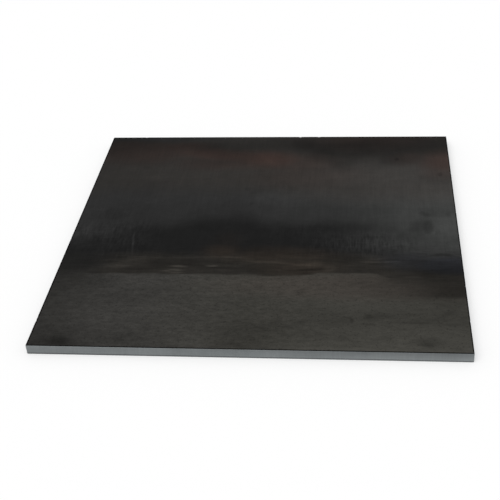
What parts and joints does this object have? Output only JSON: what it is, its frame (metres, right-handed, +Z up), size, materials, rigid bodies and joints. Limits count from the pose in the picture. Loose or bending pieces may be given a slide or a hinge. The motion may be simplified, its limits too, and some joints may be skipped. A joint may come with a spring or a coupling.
{
  "type": "steel plate",
  "caption": "Flat square of hot-rolled steel plate with dark mill scale on both faces and plain cut, deburred edges.",
  "frame": {"origin": "centre of the underside, which lies on the floor", "axes": "+Z up through the thickness, X along the width and Y along the length, both parallel to the cut edges"},
  "size_m": [0.4, 0.4, 0.01],
  "materials": {
    "mill_scale": "satin"
  },
  "bodies": {
    "root": {"steel_plate": "mill_scale"}
  },
  "joints": []
}
